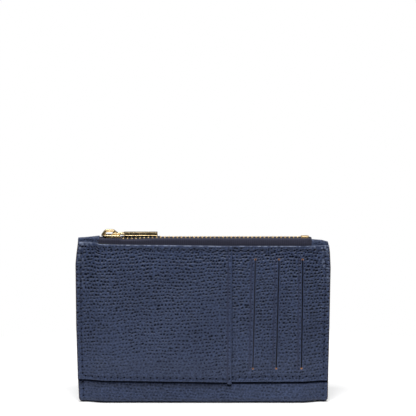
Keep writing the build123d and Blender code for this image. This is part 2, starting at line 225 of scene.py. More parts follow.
def settle(points, panel_hem=False, tab=False):
    """Moves points from the drawn shape to the slightly uneven shape of the sewn object.

    The numbers are how far the top edge and the sides stray, at places along them.
    """
    x, z = points[..., 0], points[..., 2]
    top = np.interp(x, [-60, -55, -48, 10, 60], [0.8, 0.6, 0.3, -0.45, -0.6])
    if tab:
        slope = np.where(x < 0, 0.1 + 0.06 * (x + 60), -1.25 - 0.02 * (x - 55) - 0.9 * ramp(x, 60, 65))
        moved_z = z + slope * ramp(z, 74, PANEL_TOP)
    else:
        moved_z = z + (top + 0.5 * ramp(x, -53.6, -55.2)) * ramp(z, 45, PANEL_TOP)
    if panel_hem:
        moved_z = moved_z + hem_rise(x) * ramp(z, 34, 13)
    right = np.interp(moved_z, [0, 12, 40, 70, 78, 82, 85], [-1.0, -0.9, -0.4, 0.0, -0.4, -0.9, -1.6])
    left = np.interp(moved_z, [0, 12, 40, 72, 78, 82, 86], [-0.7, -0.2, 0.45, 0.6, 0.0, -0.6, -0.9])
    if tab:
        right, left = right + 0.6, left + 0.9
    outer = (np.abs(x) / HALF_WIDTH) ** 4
    moved_x = x + np.sign(x) * np.where(x < 0, left, right) * outer - 0.4 * (1 - z / PANEL_TOP) * (1 - outer)
    if panel_hem:
        moved_x = moved_x + slit_lean(x, z)
    return np.stack([moved_x, points[..., 1], moved_z], axis=-1)


# ---- meshes ----
def new_object(name, vertices, faces, materials, material_index=None, sharp_angle=0.9):
    """Makes a smooth-shaded mesh object from places in millimetres."""
    mesh = bpy.data.meshes.new(name)
    mesh.from_pydata((np.asarray(vertices) * MM).tolist(), [], faces)
    for material in materials:
        mesh.materials.append(material)
    if material_index is not None:
        mesh.polygons.foreach_set("material_index", np.asarray(material_index, np.int32))
    mesh.validate()
    mesh.shade_smooth()
    mesh.set_sharp_from_angle(angle=sharp_angle)
    piece = bpy.data.objects.new(name, mesh)
    bpy.context.scene.collection.objects.link(piece)
    return piece


def follow_mouth(piece):
    """Bakes the piece's transform into its mesh and reads its vertex places."""
    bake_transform(piece)
    count = len(piece.data.vertices)
    places = np.empty(3 * count, np.float32)
    piece.data.vertices.foreach_get("co", places)


def normals_of(points):
    """Unit normals of a grid of points."""
    along_u = np.gradient(points, axis=1)
    along_v = np.gradient(points, axis=0)
    normal = np.cross(along_u, along_v)
    return normal / np.maximum(np.linalg.norm(normal, axis=2, keepdims=True), 1e-9)


def coarse_faces(fine, back, keep, rows, columns, raw):
    """The coarse face's quads and the walls round what is kept, as (faces, material slots)."""
    faces, slots = [], []
    cells = np.zeros((len(rows) + 1, len(columns) + 1), bool)
    cells[1:-1, 1:-1] = keep[np.ix_(rows[:-1], columns[:-1])]
    for i, j in np.argwhere(cells[1:-1, 1:-1]):
        across = slice(columns[j], columns[j + 1] + 1)
        down = slice(rows[i], rows[i + 1] + 1)
        ends = back[i : i + 2, j : j + 2]
        faces.append([ends[0, 0], ends[1, 0], ends[1, 1], ends[0, 1]])
        slots.append(2)
        sides = (
            (cells[i, j + 1], fine[rows[i], across], ends[0], 1),
            (cells[i + 2, j + 1], fine[rows[i + 1], across], ends[1], -1),
            (cells[i + 1, j], fine[down, columns[j]], ends[:, 0], -1),
            (cells[i + 1, j + 2], fine[down, columns[j + 1]], ends[:, 1], 1),
        )
        for _, line, (low, high), turn in [side for side in sides if not side[0]]:
            middle = len(line) // 2
            walls = [[line[k + 1], line[k], low if k < middle else high] for k in range(len(line) - 1)]
            walls.append([line[middle], low, high])
            faces += [wall[::turn] for wall in walls]
            slots += [3 if raw is not None and raw.flat[line].all() else 1] * len(walls)
    return faces, slots


def slab(
    name, points, height, thickness, materials, keep=None, coarse=12, needed=((), ()), attributes=(),
    taper=0.0, raw=None, mirrored=False,
):
    """A closed sheet: a fine face raised by height, a coarse face thickness behind it, and walls between.

    points is a grid of rows by columns whose normals point out of the fine face, or into it if it is
    mirrored. keep says which of its quads are there. needed lists rows and columns that the coarse face
    must also have. taper moves the coarse face, so that a cut can close up behind. raw marks places whose
    walls take the fourth material. Materials: face, edge, back and raw walls.
    """
    if mirrored:
        points = points[:, ::-1]
        height = height[:, ::-1]
        attributes = [(label, values[:, ::-1]) for label, values in attributes]
    rows, columns = points.shape[:2]
    if keep is None:
        keep = np.ones((rows - 1, columns - 1), bool)
    normal = normals_of(points)
    front = points + normal * height[..., None]
    back = points - normal * thickness + taper
    coarse_rows = sorted({*range(0, rows, coarse), rows - 1, *needed[0]})
    coarse_columns = sorted({*range(0, columns, coarse), columns - 1, *needed[1]})
    fine_index = np.arange(rows * columns).reshape(rows, columns)
    back_count = len(coarse_rows) * len(coarse_columns)
    back_index = rows * columns + np.arange(back_count).reshape(len(coarse_rows), -1)
    a = fine_index
    quads = np.stack([a[:-1, :-1], a[:-1, 1:], a[1:, 1:], a[1:, :-1]], axis=-1)[keep]
    faces, slots = coarse_faces(fine_index, back_index, keep, coarse_rows, coarse_columns, raw)
    faces = quads.tolist() + faces
    slots = [0] * len(quads) + slots
    back = back[np.ix_(coarse_rows, coarse_columns)]
    vertices = np.concatenate([front.reshape(-1, 3), back.reshape(-1, 3)])
    used = np.zeros(len(vertices), bool)
    used[np.concatenate(faces)] = True
    renumber = np.cumsum(used) - 1
    faces = [renumber[face].tolist() for face in faces]
    piece = new_object(name, vertices[used], faces, materials, slots)
    for label, values in attributes:
        layer = piece.data.attributes.new(label, "FLOAT", "POINT")
        values = np.concatenate([values.reshape(-1), np.zeros(back_count)])[used]
        layer.data.foreach_set("value", values.astype(np.float32))
    return piece


def rounded(corners, radius, steps=6):
    """A closed outline whose corners are arcs. radius is one value or one for each corner."""
    places = np.array(corners, float) @ np.array([1, 1j])
    radii = np.broadcast_to(radius, len(places))
    points = []
    for k, corner in enumerate(places):
        others = (places[k - 1], places[(k + 1) % len(places)])
        before, after = [(other - corner) / abs(other - corner) for other in others]
        half = abs(np.angle(after / before)) / 2
        if radii[k] <= 0 or half > math.pi / 2 - 0.02:
            points.append(corner)
            continue
        middle = corner + (before + after) / abs(before + after) * radii[k] / math.sin(half)
        start, end = [corner + way * radii[k] / math.tan(half) - middle for way in (before, after)]
        turn = np.linspace(0, np.angle(end / start), steps)
        points.extend(middle + start * np.exp(1j * turn))
    return np.column_stack([np.real(points), np.imag(points)])


def closed_rings(vertices, ring_count):
    """A closed solid through rings of vertices: its sides, first end and last end."""
    ring = np.arange(len(vertices)).reshape(ring_count, -1)
    ahead = np.roll(ring, -1, axis=1)
    sides = np.stack([ring[:-1], ahead[:-1], ahead[1:], ring[1:]], axis=-1)
    return vertices, [*sides.reshape(-1, 4).tolist(), ring[0, ::-1].tolist(), ring[-1].tolist()]


def prism(outline, low, high, bevel):
    """An upright solid on an anticlockwise outline, its top and bottom edges rounded."""
    edge = np.roll(outline, -1, axis=0) - outline
    edge /= np.linalg.norm(edge, axis=1, keepdims=True)
    inward = np.stack([-edge[:, 1], edge[:, 0]], axis=1)
    miter = inward + np.roll(inward, 1, axis=0)
    miter /= np.maximum(np.sum(miter * inward, axis=1, keepdims=True), 0.3)
    angles = np.linspace(0, math.pi / 2, 5)
    margin = 0.03
    start = bevel * (1 - np.cos(angles))
    end = bevel * (1 - np.sin(angles))
    insets = [bevel + margin, *end, 0, 0, *start, bevel + margin]
    heights = [low, *(low + start), low + bevel + margin, high - bevel - margin, *(high - end), high]
    rings = [np.insert(outline + miter * inset, 2, z, axis=1) for inset, z in zip(insets, heights)]
    return closed_rings(np.concatenate(rings), len(rings))


def joined(*solids):
    """Vertices and faces of several solids as one."""
    vertices, faces, start = [], [], 0
    for places, polygons in solids:
        vertices.append(places)
        faces += [[start + k for k in polygon] for polygon in polygons]
        start += len(places)
    return np.concatenate(vertices), faces


def tube(path, side, section):
    """A closed solid swept along a path of points. section is in (across, side) of each point's frame."""
    path = np.asarray(path, float)
    side = np.broadcast_to(np.asarray(side, float), path.shape)
    tangent = np.gradient(path, axis=0)
    tangent /= np.linalg.norm(tangent, axis=1, keepdims=True)
    across = np.cross(tangent, side)
    across /= np.linalg.norm(across, axis=1, keepdims=True)
    side = np.cross(across, tangent)
    section = np.broadcast_to(section, (len(path),) + np.shape(section)[-2:])
    rings = path[:, None] + section[..., :1] * across[:, None] + section[..., 1:] * side[:, None]
    return closed_rings(rings.reshape(-1, 3), len(path))


def ring_section(radius, count=10):
    """A round section."""
    angle = np.linspace(0, 2 * math.pi, count, endpoint=False)
    return radius * np.column_stack([np.cos(angle), np.sin(angle)])


# ---- materials ----
def srgb(red, green, blue):
    """A screen colour as the linear colour that shaders take."""
    linear = [c / 255 / 12.92 if c <= 10 else ((c / 255 + 0.055) / 1.055) ** 2.4 for c in (red, green, blue)]
    return (*linear, 1.0)


class Graph:
    """A node tree with short ways to add nodes to it."""

    def __init__(self, tree):
        self.nodes = tree.nodes
        self.links = tree.links

    def fill(self, socket, value):
        """Links a node's output to the socket, or sets the socket's own value."""
        if isinstance(value, bpy.types.NodeSocket):
            self.links.new(value, socket)
        else:
            socket.default_value = value

    def add(self, kind, output=0, options=(), **inputs):
        """Adds a node with options set and inputs filled, and returns one of its outputs."""
        node = self.nodes.new(f"ShaderNode{kind}")
        for name, value in options:
            setattr(node, name, value)
        for name, value in inputs.items():
            self.fill(node.inputs[name.replace("_", " ")], value)
        return node.outputs[output]

    def math(self, operation, a, b):
        node = self.nodes.new("ShaderNodeMath")
        node.operation = operation
        self.fill(node.inputs[0], a)
        self.fill(node.inputs[1], b)
        return node.outputs[0]


class Shader(Graph):
    """A Principled material with short ways to add texture nodes to it."""

    def __init__(self, name, **values):
        self.material = bpy.data.materials.new(name)
        self.material.use_nodes = True
        super().__init__(self.material.node_tree)
        self.surface = self.nodes["Principled BSDF"]
        self.set(**values)
        self.place = self.add("TexCoord", "Object")

    def set(self, **values):
        """Fills inputs of the surface."""
        for socket, value in values.items():
            self.fill(self.surface.inputs[socket.replace("_", " ")], value)

    def stretched(self, scale):
        """Object coordinates, scaled by a different amount along each axis."""
        return self.add("Mapping", "Vector", Scale=scale, Vector=self.place)

    def noise(self, scale, detail, roughness=0.55, place=None):
        texture = {"Scale": scale, "Detail": detail, "Roughness": roughness}
        return self.add("TexNoise", "Fac", Vector=place or self.place, **texture)

    def wave(self, period, direction, distortion):
        """Bands across a direction, a period in millimetres apart."""
        scale = 1 / (period * MM) / math.pi / 2
        options = [("bands_direction", direction)]
        return self.add("TexWave", "Fac", options, Scale=scale, Distortion=distortion, Vector=self.place)

    def attribute(self, name):
        return self.add("Attribute", "Fac", [("attribute_name", name)])

    def mapped(self, value, low, high):
        """A value from 0 to 1 spread from low to high."""
        return self.add("MapRange", "Result", To_Min=low, To_Max=high, Value=value)

    def colours(self, factor, *stops):
        """A colour ramp. Each stop is (place, colour)."""
        node = self.nodes.new("ShaderNodeValToRGB")
        for stop, (place, colour) in zip(node.color_ramp.elements, stops):
            stop.position = place
            stop.color = colour
        for place, colour in stops[2:]:
            node.color_ramp.elements.new(place).color = colour
        self.fill(node.inputs["Fac"], factor)
        return node.outputs["Color"]

    def mixed(self, factor, a, b, blend="MIX"):
        node = self.nodes.new("ShaderNodeMix")
        node.data_type = "RGBA"
        node.blend_type = blend
        sockets = [socket for socket in node.inputs if socket.enabled]
        for socket, value in zip(sockets, (factor, a, b)):
            self.fill(socket, value)
        return next(socket for socket in node.outputs if socket.enabled)

    def bump(self, height, distance, strength):
        """Fine relief, distance millimetres high."""
        self.set(Normal=self.add("Bump", "Normal", Strength=strength, Distance=distance * MM, Height=height))


def leather_material(name, ridge, pit, crease, roughness):
    """Grained leather. The mesh says where the pits, pressed creases and rubbed edges are, and where painted
    shade and painted highlights go.
    """
    shader = Shader(name)
    # the pit attribute holds the grain's pits and the painted shade of the needle holes and the hem
    pit_and_shade = shader.attribute("pit")
    shader.set(Specular_IOR_Level=shader.mapped(pit_and_shade, 0.26, 0.04))
    specks = shader.noise(1250, 2, 0.6)
    dull, bright = [tuple(c * k for c in ridge[:3]) + (1,) for k in (0.72, 1.5)]
    top = shader.colours(specks, (0.36, dull), (0.5, ridge), (0.66, bright))
    depth = shader.math("ADD", pit_and_shade, shader.mapped(shader.noise(900, 2), -0.09, 0.09))
    grain = shader.mixed(shader.colours(depth, (0.05, (0, 0, 0, 1)), (0.75, (1, 1, 1, 1))), top, pit)
    creased = shader.mixed(shader.attribute("crease"), grain, crease)
    rubbed = shader.mixed(shader.attribute("rub"), creased, srgb(64, 48, 40))
    # painted highlight: lit pit rims, top edges and seam sides lightened in colour
    highlighted = shader.mixed(shader.attribute("painted_highlight"), rubbed, srgb(116, 126, 150))
    cloudy = shader.colours(shader.noise(38, 4), (0.3, (0.84, 0.85, 0.87, 1)), (0.7, (1.14, 1.13, 1.10, 1)))
    matt = shader.math("ADD", pit_and_shade, shader.mapped(shader.noise(260, 3), -0.3, 0.3))
    shader.set(
        Base_Color=shader.mixed(1.0, highlighted, cloudy, "MULTIPLY"),
        Roughness=shader.mapped(matt, roughness, roughness + 0.34),
    )
    cells = shader.add("TexVoronoi", "Distance", Scale=3300, Vector=shader.place)
    pores = shader.math("MULTIPLY", cells, shader.noise(1500, 4))
    wrinkles = shader.math("ADD", specks, shader.math("MULTIPLY", pores, 0.35))
    shader.bump(wrinkles, 0.24, 0.9)
    return shader.material


def toned(shader, tone, dark, light, rough, relief):
    """Colours a shader by a tone. dark and light are (place in the tone, colour), rough and relief pairs."""
    shader.set(Base_Color=shader.colours(tone, dark, light), Roughness=shader.mapped(rough[0], *rough[1:]))
    shader.bump(*relief)
    return shader.material


def edge_material():
    """The painted cut edges of the leather."""
    shader = Shader("edge_paint", Specular_IOR_Level=0.45)
    tone = shader.noise(420, 3)
    relief = (shader.noise(1500, 3), 0.05, 0.6)
    return toned(shader, tone, (0.3, srgb(8, 8, 11)), (0.75, srgb(20, 19, 24)), (tone, 0.42, 0.62), relief)


def flesh_material(name, light, dark):
    """The unfinished back of leather, or a punched hole's raw wall."""
    shader = Shader(name, Specular_IOR_Level=0.2, Sheen_Weight=0.15)
    fibres = shader.noise(2600, 5, 0.7, shader.stretched((1, 1, 0.6)))
    return toned(shader, fibres, (0.25, dark), (0.8, light), (fibres, 0.8, 0.98), (fibres, 0.08, 0.8))


def cloth_material(name, light, dark, threads_per_mm=2.6):
    """Plain woven cloth, its threads crossing in x and z."""
    shader = Shader(name, Specular_IOR_Level=0.25, Sheen_Weight=0.2)
    warp = shader.wave(1 / threads_per_mm, "X", 0.25)
    weft = shader.wave(1 / threads_per_mm, "Z", 0.25)
    weave = shader.math("MAXIMUM", warp, weft)
    mottled = shader.math("MULTIPLY", weave, shader.mapped(shader.noise(500, 3), 0.6, 1.2))
    return toned(shader, mottled, (0.2, dark), (0.85, light), (weave, 0.9, 0.72), (weave, 0.06, 0.8))


def tape_material():
    """Ribbed zipper tape: fine weave all over and cords that run up to the teeth."""
    shader = Shader("zipper_tape", Specular_IOR_Level=0.3, Sheen_Weight=0.25)
    ribs = shader.math("MULTIPLY", shader.wave(0.55, "X", 0.4), 0.18)
    weft = shader.math("MULTIPLY", shader.wave(0.30, "Z", 0.6), 0.35)
    weave = shader.math("ADD", ribs, weft)
    mottled = shader.math("MULTIPLY", weave, shader.mapped(shader.noise(700, 3), 0.65, 1.25))
    dark, light = (0.1, srgb(30, 31, 47)), (0.75, srgb(60, 61, 84))
    return toned(shader, mottled, dark, light, (weave, 0.88, 0.7), (weave, 0.07, 0.9))


def thread_material():
    """Twisted sewing thread with a little lustre."""
    shader = Shader("sewing_thread", Specular_IOR_Level=0.25)
    strands = shader.noise(1400, 3, 0.6, shader.stretched((1, 0.4, 1)))
    dark, light = (0.3, srgb(28, 36, 58)), (0.75, srgb(48, 58, 86))
    return toned(shader, strands, dark, light, (strands, 0.38, 0.6), (shader.noise(3800, 2), 0.04, 0.6))


def gold_material(name, light, deep, roughness):
    """Polished gold plate with faint rubbed marks and slightly deeper tone where it is worn."""
    shader = Shader(name, Metallic=1.0)
    rubbed = shader.noise(300, 3, 0.5, shader.stretched((0.2, 1, 1)))
    rough = (rubbed, roughness - 0.03, roughness + 0.08)
    return toned(shader, shader.noise(120, 3), (0.3, deep), (0.7, light), rough, (rubbed, 0.001, 0.05))


NAVY = leather_material("navy_leather", srgb(47, 57, 83), srgb(4, 9, 25), srgb(36, 40, 62), 0.39)
TAB_LEATHER = leather_material("tab_leather", srgb(62, 72, 98), srgb(8, 12, 28), srgb(46, 50, 70), 0.42)
EDGE = edge_material()
FLESH = flesh_material("navy_flesh", srgb(48, 52, 72), srgb(24, 27, 40))
RAW_TAN = flesh_material("raw_tan", srgb(186, 142, 108), srgb(126, 86, 60))
LINING_CLOTH = cloth_material("lining_cloth", srgb(44, 48, 66), srgb(20, 22, 34))
POCKET_CLOTH = cloth_material("pocket_cloth", srgb(44, 46, 60), srgb(22, 22, 32))
BOARD = cloth_material("stiffening_board", srgb(150, 140, 122), srgb(112, 102, 88), 1.2)
TAPE_CLOTH = tape_material()
THREAD = thread_material()
GOLD = gold_material("gold_plate", (0.72, 0.58, 0.36, 1), (0.56, 0.42, 0.22, 1), 0.24)
TOOTH_GOLD = gold_material("tooth_gold", (0.94, 0.70, 0.38, 1), (0.78, 0.54, 0.26, 1), 0.36)


# ---- seams ----
def seam_line(low, high):
    """Where a seam's stitches meet, one pitch apart."""
    return np.linspace(low, high, int((high - low) / SEAM_PITCH) + 1)


MOUTH_SEAM = PANEL_TOP - MOUTH_SEAM_DROP
COVER_HEM_SEAM = PANEL_BOTTOM + 1.8
SLOT_HEM_SEAM = PANEL_BOTTOM + 2.6
MOUTH_ROW = (-60.8, 60.8)
COVER_ROW = (-60.8, COVER_EDGE - 1.0)
SLOT_ROW = (COVER_EDGE + 0.7, 60.8)
SIDE_ROW = (PANEL_BOTTOM + 3.2, PANEL_TOP - 2.6)
STRIP_ROW = (3.0, PANEL_BOTTOM - 0.6)
BACK_ROW = (STRIP_ROW[0], SIDE_ROW[1])


def sewn(u, v, height, pit, seams):
    """Presses seams into the grain: needle holes, a groove and calmer grain beside it.

    Each seam is (row, across, upright). Returns the height, the pits and the painted shade that darkens the
    needle holes.
    """
    dark = np.zeros_like(u)
    for row, across, upright in seams:
        along, off = (v, u - across) if upright else (u, v - across)
        line = seam_line(*row)
        pitch = line[1] - line[0]
        inside = (along > line[0] - 1) & (along < line[-1] + 1)
        phase = (along - line[0] + pitch / 2) % pitch - pitch / 2
        hole = hill(np.hypot(phase, off), 0, 0.44) * inside
        height = height - 0.45 * hole - 0.10 * hill(off, 0, 0.6) * inside
        pit = pit * (1 - 0.6 * hill(off, 0, 0.9) * inside)
        # painted shade: the needle holes darkened in colour, on top of their real dents
        dark = np.maximum(dark, np.clip(1.5 * hole - 0.1, 0, 1))
    return height, pit, dark


# ---- leather ----
GRAIN_DEPTH = 0.24
CREASE_CALM = 0.75
CREASE_TONE = 0.8


def rolled(distance, radius):
    """How far a rounded edge falls away at a distance in from the edge."""
    d = np.clip(distance, 0, radius)
    return radius - np.sqrt(np.maximum(radius**2 - (radius - d) ** 2, 0))


def grained(u, v, seed, fade):
    """The grain's pits and the slow swells of the leather, as (height, pit)."""
    # the pits grow deeper and darker towards the top
    upward_strength = np.interp(v, [8, 36, 76], [0.6, 1.0, 1.5])
    pit = pits(u, v, seed) * fade * upward_strength * (0.86 + 0.25 * noise(u, v, 13, seed + 4))
    swell = 0.10 * noise(u, v, 17, seed + 3) + 0.04 * noise(u, v, 6, seed + 5)
    return swell - GRAIN_DEPTH * pit, np.clip(pit, 0, 1)


def glints(pit, v):
    """The lower rims of the pits, which face up to the light from above, as a painted highlight."""
    return np.clip(0.24 * np.gradient(pit, axis=0) / np.gradient(v, axis=0) - 0.10, 0, 0.35)


def top_edge_highlight(u, v, seed, fade):
    """The panels' rounded top edge, lit from above, as one thin painted highlight, in places."""
    patches = np.clip(0.3 + 1.1 * noise(u, v, 0.9, seed), 0, 0.8)
    return hill(v, PANEL_TOP - 0.18, 0.26) * patches * (0.3 + 0.7 * fade)


def side_shine(u, v):
    """The puckered leather beside the side seams, which catches the light in the top third."""
    beside = hill(np.abs(u), SIDE_SEAM + 1.2, 0.8) + 0.7 * hill(np.abs(u), SIDE_SEAM - 1.0, 0.7)
    corner = ramp(np.abs(u), 53, 57) * hill(v, PANEL_TOP - 1.0, 1.2)
    return (0.6 * beside * ramp(v, 50, 76) + 0.8 * corner) * np.clip(0.1 + 1.2 * noise(u, v, 0.9, 21), 0, 1)


def rubbed(u):
    """The side edges, where the leather's cut shows warm through the finish."""
    return 0.8 * ramp(np.abs(u), HALF_WIDTH - 0.55, HALF_WIDTH - 0.15)


def marks(pit, dark=0.0, crease=0.0, rub=0.0, painted_highlight=0.0):
    """What the leather materials read from the mesh: the grain's pits with painted shade added, creases,
    rubbed edges and painted highlights.
    """
    values = {"pit": np.maximum(pit, dark), "crease": crease, "rub": rub, "painted_highlight": painted_highlight}
    return [(label, np.broadcast_to(value, pit.shape)) for label, value in values.items()]


def panel_edges(v, floor):
    """How far a front panel's top and bottom edges fall away, and how calm its grain is beside them."""
    calm = ramp(PANEL_TOP - v, 0.5, 1.5) * ramp(v, PANEL_BOTTOM + 0.1, PANEL_BOTTOM + 1.0)
    return rolled(PANEL_TOP - v, EDGE_RADIUS) + rolled(v - floor, HEM_RADIUS), calm


def front_points(u, v, distance):
    """A front layer's outer face. v is height."""
    return np.stack([u, SEAM_Y - distance - COIN_DEPTH * share(u) - pocket(u, v), v], axis=-1)


def cover_panel():
    """The leather panel over the left of the front, its right edge hemmed and its hem a little long."""
    left, right, low, high = -HALF_WIDTH, COVER_EDGE, PANEL_BOTTOM, PANEL_TOP
    hem_left = right - HEM_INSET
    us = merged(spaced(left, right, GRAIN_STEP), edge_steps(left, right, EDGE_RADIUS), hem_left)
    vs = merged(spaced(low, high, GRAIN_STEP), edge_steps(low, high, EDGE_RADIUS), low - HEM_DROP, low - 0.5)
    u, v = np.meshgrid(us, vs)
    points = front_points(u, v, COVER)
    points[..., 1] -= 0.22 * hill(u, right, 1.6) * ramp(v, low, low + 10)
    fall, calm = panel_edges(v, np.where(u > hem_left + 0.01, low - HEM_DROP, low))
    height, pit = grained(u, v, 1, ramp(right - u, 0.3, 1.4) * calm)
    crease = hill(u, hem_left, CREASE_WIDTH)
    height -= rolled(u - left, EDGE_RADIUS) + rolled(right - u, EDGE_RADIUS) + fall + 0.13 * crease
    seams = ((COVER_ROW, MOUTH_SEAM, False), (COVER_ROW, COVER_HEM_SEAM, False), (SIDE_ROW, -SIDE_SEAM, True))
    height, pit, dark = sewn(u, v, height, pit * (1 - CREASE_CALM * crease), seams)
    keep = np.ones((len(vs) - 1, len(us) - 1), bool)
    keep[np.ix_(vs[:-1] < low - 0.01, us[:-1] < hem_left - 0.01)] = False
    needed = ([np.argmin(abs(vs - low))], [np.argmin(abs(us - hem_left))])
    shine = (top_edge_highlight(u, v, 8, ramp(u, -55, -52.5)), side_shine(u, v) * (u < 0), glints(pit, v))
    piece = slab(
        "cover_leather", settle(points, True), height, COVER_THICKNESS, (NAVY, EDGE, FLESH),
        keep, needed=needed,
        attributes=marks(pit, dark, CREASE_TONE * crease, rubbed(u) * (u < 0), np.maximum.reduce(shine)),
    )
    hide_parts("cover_panel")
    follow_mouth(piece)


def nearest(values, places):
    """How far each value is from the nearest of some places."""
    return np.min([abs(values - place) for place in places], axis=0)


def slot_grid():
    """Columns and rows of the slot panel: close round the slots, and wide apart under the cover."""
    hole = SLOT_HOLE_RADIUS * np.array([-1.0, -0.54, 0, 0.54, 1.0])
    columns = [slot_x + np.concatenate([hole, [-1.0, -0.75, 0.75, 1.0]]) for slot_x in SLOT_XS]
    rows = [end + np.concatenate([hole, [-0.85, 0.85]]) for end in SLOT_ENDS]
    hidden = spaced(-HALF_WIDTH, COVER_EDGE - 3, HIDDEN_STEP)
    us = spaced(COVER_EDGE - 3, HALF_WIDTH, GRAIN_STEP)
    us = us[nearest(us, SLOT_XS) > 1.15]
    vs = spaced(PANEL_BOTTOM, PANEL_TOP, GRAIN_STEP)
    vs = vs[nearest(vs, SLOT_ENDS) > 1.0]
    us = merged(hidden, us, edge_steps(-HALF_WIDTH, HALF_WIDTH, EDGE_RADIUS), *columns)
    return us, merged(vs, edge_steps(PANEL_BOTTOM, PANEL_TOP, EDGE_RADIUS), *rows)


def slot_openings(us, vs):
    """Which quads of the slot panel are left, and the rows and columns that its coarse face needs."""
    middle_u = (us[1:] + us[:-1]) / 2
    middle_v = (vs[1:] + vs[:-1]) / 2
    keep = np.ones((len(vs) - 1, len(us) - 1), bool)
    slit_rows = (middle_v > SLOT_ENDS[0]) & (middle_v < SLOT_ENDS[1])
    keep[np.ix_(slit_rows, nearest(middle_u, SLOT_XS) < SLOT_HALF_WIDTH)] = False
    hole_rows = nearest(middle_v, SLOT_ENDS) < SLOT_HOLE_RADIUS
    keep[np.ix_(hole_rows, nearest(middle_u, SLOT_XS) < SLOT_HOLE_RADIUS)] = False
    reach = SLOT_HOLE_RADIUS + 0.01
    needed = (nearest(vs, SLOT_ENDS) < reach, nearest(us, SLOT_XS) < reach)
    return keep, [np.flatnonzero(near) for near in needed]


def punched(u, v, x, z):
    """Moves the grid's vertices inside a hole's corners onto the round hole, and marks those on its rim."""
    across = u - x
    up = v - z
    reach = np.hypot(across, up)
    outside = (np.maximum(abs(across), abs(up)) < SLOT_HOLE_RADIUS + 0.01) & (reach > SLOT_HOLE_RADIUS)
    scale = SLOT_HOLE_RADIUS / np.maximum(reach, SLOT_HOLE_RADIUS)
    u = np.where(outside, x + across * scale, u)
    v = np.where(outside, z + up * scale, v)
    return u, v, np.hypot(u - x, v - z) < SLOT_HOLE_RADIUS + 0.02


def cut_slots(u, v):
    """Shapes the slots' rims, each a slit between two punched holes.

    Returns the moved grid, how far each place is from a lip, how the cuts close up behind, which places are
    on a hole's raw rim, and the crease pressed beside each slit.
    """
    closing = 0.75
    lip = np.full_like(u, HALF_WIDTH)
    taper = np.zeros(u.shape + (3,))
    raw = np.zeros(u.shape, bool)
    crease = np.zeros_like(u)
    for slot_x in SLOT_XS:
        for end in SLOT_ENDS:
            u, v, rim = punched(u, v, slot_x, end)
            lip = np.minimum(lip, abs(np.hypot(u - slot_x, v - end) - SLOT_HOLE_RADIUS))
            raw |= rim
            taper[..., 0] -= closing * rim * (u - slot_x)
            taper[..., 2] -= closing * rim * (v - end)
        off = abs(u - slot_x)
        inside = (v > SLOT_ENDS[0] + SLOT_HOLE_RADIUS) & (v < SLOT_ENDS[1] - SLOT_HOLE_RADIUS)
        taper[..., 0] -= closing * inside * (off < SLOT_HALF_WIDTH + 0.02) * (u - slot_x)
        lip = np.where(inside, np.minimum(lip, abs(off - SLOT_HALF_WIDTH)), lip)
        run = ramp(v, SLOT_ENDS[0] - 1.5, SLOT_ENDS[0]) * ramp(v, SLOT_ENDS[1] + 1.5, SLOT_ENDS[1])
        crease = np.maximum(crease, hill(u, slot_x - CREASE_INSET, CREASE_WIDTH) * run)
    return u, v, lip, taper, raw, crease


def slot_panel():
    """The front panel with three card slots."""
    us, vs = slot_grid()
    keep, needed = slot_openings(us, vs)
    u, v, lip, taper, raw, crease = cut_slots(*np.meshgrid(us, vs))
    points = front_points(u, v, SLOT_PANEL)
    for slot_x in SLOT_XS:  # the card edges behind each slit hold its left lip up a little
        run = ramp(v, SLOT_ENDS[0], SLOT_ENDS[0] + 8) * ramp(v, SLOT_ENDS[1], SLOT_ENDS[1] - 8)
        points[..., 1] -= 0.16 * run * ramp(u, slot_x - 4, slot_x - 0.4) * (u < slot_x)
    fall, calm = panel_edges(v, PANEL_BOTTOM)
    height, pit = grained(u, v, 6, 1.18 * ramp(lip, 0.1, 0.8) * calm)
    height -= rolled(HALF_WIDTH - u, EDGE_RADIUS) + rolled(u + HALF_WIDTH, EDGE_RADIUS) + fall
    height -= 0.12 * crease + 0.10 * hill(lip, 0, 0.22)
    seams = ((SLOT_ROW, MOUTH_SEAM, False), (SLOT_ROW, SLOT_HEM_SEAM, False), (SIDE_ROW, SIDE_SEAM, True))
    height, pit, dark = sewn(u, v, height, pit * (1 - CREASE_CALM * crease), seams)
    shine = (top_edge_highlight(u, v, 9, ramp(u, 55, 53.5)), side_shine(u, v) * (u > 0), glints(pit, v))
    piece = slab(
        "slot_panel_leather", settle(points, True), height, PANEL_THICKNESS, (NAVY, EDGE, FLESH, RAW_TAN),
        keep, needed=needed, taper=taper, raw=raw,
        attributes=marks(pit, dark, CREASE_TONE * crease, rubbed(u), np.maximum.reduce(shine)),
    )
    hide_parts("slot_panel")
    follow_mouth(piece)


def shell_points(u, turn, half, distance):
    """The shell's outer face. turn is height above the fold, or below 0 the way under it to the middle."""
    depth = distance + COIN_DEPTH * share(u)
    quarter = math.pi / 2 * FOLD_RADIUS
    bend = np.clip(-turn / quarter, 0, 1) * math.pi / 2
    under = np.clip(-turn - quarter, 0, None)  # counted on the deepest section and scaled to the others
    flat = np.maximum(depth - FOLD_RADIUS, 0.02)
    longest = distance + COIN_DEPTH - FOLD_RADIUS
    out = flat + FOLD_RADIUS * np.cos(bend) - flat * under / longest
    z = np.where(turn > 0, turn + FOLD_RADIUS, FOLD_RADIUS * (1 - np.sin(bend)))
    z = z + 0.45 * (1 - under / longest) * ramp(turn, 6, 0)
    return np.stack([u, SEAM_Y + half * out, z], axis=-1)


def shell_seams(half):
    """The seams that show on the shell: up the sides below the panels, and all round the back."""
    row = STRIP_ROW if half < 0 else BACK_ROW
    seams = [(row, side * SIDE_SEAM, True) for side in (-1, 1)]
    if half > 0:
        seams.append((MOUTH_ROW, MOUTH_SEAM, False))
    return seams


def hem_shadow(u, z):
    """The strip of the shell just below the panels' hem, pressed in a little and darkened in colour as a
    painted shadow.
    """
    hem = PANEL_BOTTOM + hem_rise(u) - 0.9 * ramp(u, COVER_EDGE - 2.3, COVER_EDGE - 2.1) * (u < COVER_EDGE)
    return ramp(z, hem - 1.55, hem - 0.75)


